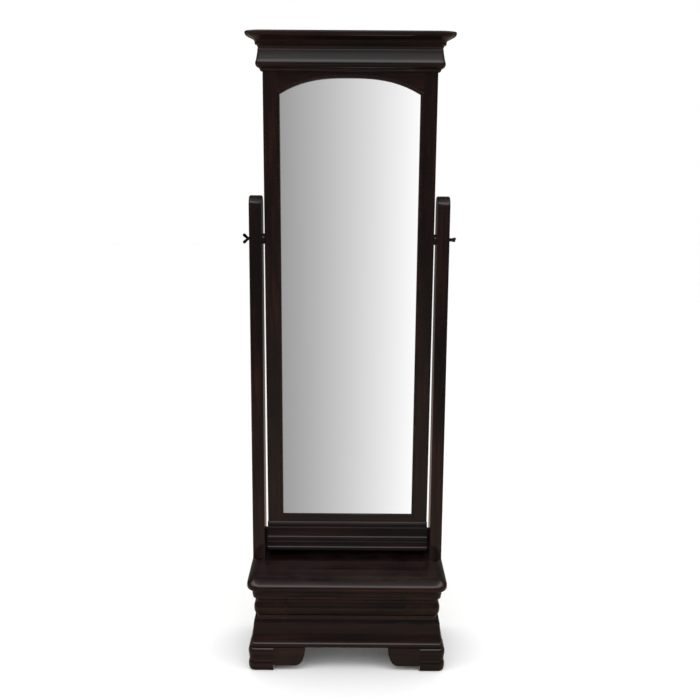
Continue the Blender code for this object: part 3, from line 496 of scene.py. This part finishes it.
def fibre(name, dark, light, scale, roughness, bump):
    """A matt material of short tangled fibres, finer for felt than for pressed board."""
    made = bpy.data.materials.new(name)
    made.use_nodes = True
    tree = made.node_tree
    shader = tree.nodes["Principled BSDF"]
    place = add(tree, "ShaderNodeTexCoord").outputs["Object"]
    tangle = noise(tree, place, scale, 6.0, Roughness=0.7, Distortion=1.5)
    stain = noise(tree, place, 5.0, 2.0)
    mix = calc(tree, "ADD", calc(tree, "MULTIPLY", tangle, 0.7), calc(tree, "MULTIPLY", stain, 0.3))
    colour = blend_colour(tree, map_range(tree, mix, 0.35, 0.65), dark, light)
    tree.links.new(colour, shader.inputs["Base Color"])
    tree.links.new(calc(tree, "MULTIPLY_ADD", tangle, 0.15, roughness), shader.inputs["Roughness"])
    relief = add(tree, "ShaderNodeBump", {"Height": tangle, "Strength": bump, "Distance": 0.0003})
    tree.links.new(relief.outputs[0], shader.inputs["Normal"])
    return made


hardboard = fibre("pressed_board", (0.105, 0.060, 0.032, 1), (0.165, 0.100, 0.058, 1),
                  scale=260.0, roughness=0.62, bump=0.3)
felt = fibre("black_felt", (0.008, 0.008, 0.008, 1), (0.030, 0.030, 0.030, 1),
             scale=900.0, roughness=0.85, bump=0.8)
print("matt materials:", hardboard.name, felt.name)

# %% [markdown]
# ## Round stretches that shade as round
# The mouldings arrive as narrow flat facets, which a plane iron would leave too before sanding. Turning
# smooth shading on everywhere would blur the crisp fillets between them, so a small geometry node tree
# welds the corners, smooths every face, and keeps an edge sharp where its two faces meet at more than 32
# degrees. It is made once and shared by every piece.

# %% Smooth-by-angle modifier, made once from geometry nodes
SMOOTH_LIMIT = 32.0
WELD_DISTANCE = 0.00001

smoothing = bpy.data.node_groups.new("smooth_round_stretches", "GeometryNodeTree")
smoothing.interface.new_socket("Geometry", in_out="INPUT", socket_type="NodeSocketGeometry")
smoothing.interface.new_socket("Geometry", in_out="OUTPUT", socket_type="NodeSocketGeometry")
entry, leave = smoothing.nodes.new("NodeGroupInput"), smoothing.nodes.new("NodeGroupOutput")
welded = add(smoothing, "GeometryNodeMergeByDistance",
             {"Geometry": entry.outputs[0], "Distance": WELD_DISTANCE})
rounded = add(smoothing, "GeometryNodeSetShadeSmooth",
              {"Geometry": welded.outputs[0], "Shade Smooth": True})
rounded.domain = "FACE"
angle = add(smoothing, "GeometryNodeInputMeshEdgeAngle").outputs["Unsigned Angle"]
steep = add(smoothing, "FunctionNodeCompare", {0: angle, 1: radians(SMOOTH_LIMIT)}, data_type="FLOAT",
            operation="GREATER_THAN").outputs[0]
sharp = add(smoothing, "GeometryNodeSetShadeSmooth",
            {"Geometry": rounded.outputs[0], "Selection": steep, "Shade Smooth": False})
sharp.domain = "EDGE"
smoothing.links.new(sharp.outputs[0], leave.inputs[0])
print("smoothing keeps edges sharp above", SMOOTH_LIMIT, "degrees")

# %% [markdown]
# ## Dress every piece of the joinery
# The name of a piece says which way its grain runs. Each board is then finished as a cabinetmaker would
# with fine paper: the round stretches shade smooth, and a hair is taken off the sharp arrises so that they
# catch a line of light. Turned brass and steel keep a finer edge, and the glass and felt keep theirs bare.

# %% Finish and material for each piece
ALONG_Z = ("post_", "stile_", "glass_strip_left", "glass_strip_right")
ALONG_Y = ("bed_moulding_left", "bed_moulding_right", "plinth_left", "plinth_right", "frieze_left",
           "frieze_right", "cornice_left", "cornice_right", "crown_frieze_left", "crown_frieze_right",
           "crown_bead_left", "crown_bead_right", "drawer_side_", "drawer_runner_", "drawer_guide_",
           "rear_foot_")
ARRIS = {"wing_screw_": 0.0004, "threaded_insert_": 0.0003, "mirror_glass": 0.0, "bumper_": 0.0}
DEFAULT_ARRIS = 0.0006
ARRIS_ANGLE = 50.0


def first_match(name, table, default):
    """The value of the first entry that the name starts with."""
    for start, value in table.items():
        if name.startswith(start):
            return value
    return default


slot_of = {row["node"]: row["material_slot"] for row in frame["record"]["subparts"]}
plain = {"silvered_glass": silvered, "hardboard": hardboard, "dark_bronze": bronze, "brass": brass,
         "felt": felt}
for name, piece in nodes.items():
    axis = "z" if name.startswith(ALONG_Z) else "y" if name.startswith(ALONG_Y) else "x"
    slot = slot_of[name]
    family = {"mahogany": mahogany, "carcass_wood": carcass}.get(slot)
    piece.data.materials.clear()
    piece.data.materials.append(family[axis] if family else plain[slot])
    weld = piece.modifiers.new("smooth", "NODES")
    weld.node_group = smoothing
    width = first_match(name, ARRIS, DEFAULT_ARRIS)
    if width:
        arris = piece.modifiers.new("arris", "BEVEL")
        arris.width = width
        arris.segments = 2
        arris.limit_method = "ANGLE"
        arris.angle_limit = radians(ARRIS_ANGLE)
        arris.use_clamp_overlap = True
        arris.harden_normals = True
print("dressed", len(nodes), "pieces")

# %% [markdown]
# ## View settings
# The looks must not grow the furniture. Last, the scene's view transform is set to Standard.

# %% View settings
bpy.context.scene.view_settings.view_transform = "Standard"
